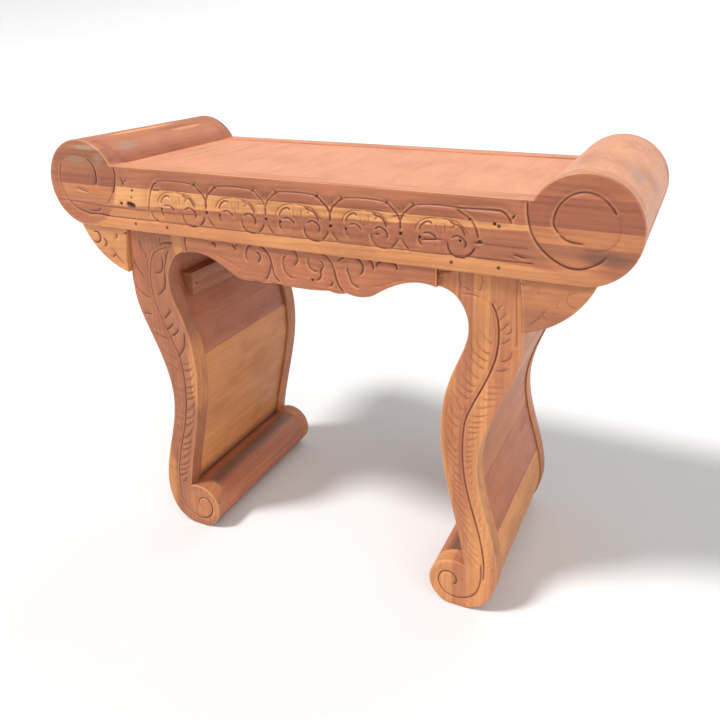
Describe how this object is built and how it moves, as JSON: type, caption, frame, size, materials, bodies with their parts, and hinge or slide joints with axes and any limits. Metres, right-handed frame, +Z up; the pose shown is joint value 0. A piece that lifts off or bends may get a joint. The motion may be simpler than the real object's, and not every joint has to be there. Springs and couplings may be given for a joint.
{
  "type": "kneeling bench",
  "caption": "Low carved wooden bench with a flat top between rolled scroll ends, standing on hollow S-curved legs that end in foot rolls.",
  "frame": {"origin": "on the floor, under the middle of the bench's box", "axes": "+X along the bench, +Y from its carved front to its back, +Z up"},
  "size_m": [0.8, 0.28, 0.59],
  "materials": {
    "teak_carved": "semi-gloss varnish over carved teak",
    "teak_top": "semi-gloss varnish over planed teak",
    "teak_round": "semi-gloss varnish over turned teak",
    "teak_plank": "satin varnish over planed teak",
    "teak_frame": "sawn teak with one thin coat",
    "nail_steel": "darkened steel"
  },
  "bodies": {
    "root": {"back_apron": "teak_carved", "back_rail": "teak_carved", "cleat_nails": "nail_steel", "front_apron": "teak_carved", "front_rail": "teak_carved", "glue_blocks": "teak_frame", "ledgers": "teak_frame", "left_back_bracket": "teak_carved", "left_back_leg_board": "teak_carved", "left_foot_roll": "teak_round", "left_front_bracket": "teak_carved", "left_front_leg_board": "teak_carved", "left_leg_bearer": "teak_frame", "left_leg_cleat": "teak_frame", "left_leg_inner_plank_1": "teak_plank", "left_leg_inner_plank_2": "teak_plank", "left_leg_inner_plank_3": "teak_plank", "left_leg_outer_slat_1": "teak_plank", "left_leg_outer_slat_2": "teak_plank", "left_leg_outer_slat_3": "teak_plank", "left_leg_outer_slat_4": "teak_plank", "left_leg_outer_slat_5": "teak_plank", "left_roll_formers": "teak_frame", "left_roll_stave_1": "teak_round", "left_roll_stave_2": "teak_round", "left_roll_stave_3": "teak_round", "left_roll_stave_4": "teak_round", "left_roll_stave_5": "teak_round", "left_roll_stave_6": "teak_round", "rail_nails": "nail_steel", "right_back_bracket": "teak_carved", "right_back_leg_board": "teak_carved", "right_foot_roll": "teak_round", "right_front_bracket": "teak_carved", "right_front_leg_board": "teak_carved", "right_leg_bearer": "teak_frame", "right_leg_cleat": "teak_frame", "right_leg_inner_plank_1": "teak_plank", "right_leg_inner_plank_2": "teak_plank", "right_leg_inner_plank_3": "teak_plank", "right_leg_outer_slat_1": "teak_plank", "right_leg_outer_slat_2": "teak_plank", "right_leg_outer_slat_3": "teak_plank", "right_leg_outer_slat_4": "teak_plank", "right_leg_outer_slat_5": "teak_plank", "right_roll_formers": "teak_frame", "right_roll_stave_1": "teak_round", "right_roll_stave_2": "teak_round", "right_roll_stave_3": "teak_round", "right_roll_stave_4": "teak_round", "right_roll_stave_5": "teak_round", "right_roll_stave_6": "teak_round", "top_board_1": "teak_top", "top_board_2": "teak_top", "top_board_3": "teak_top", "top_board_4": "teak_top", "top_board_5": "teak_top"}
  },
  "joints": []
}
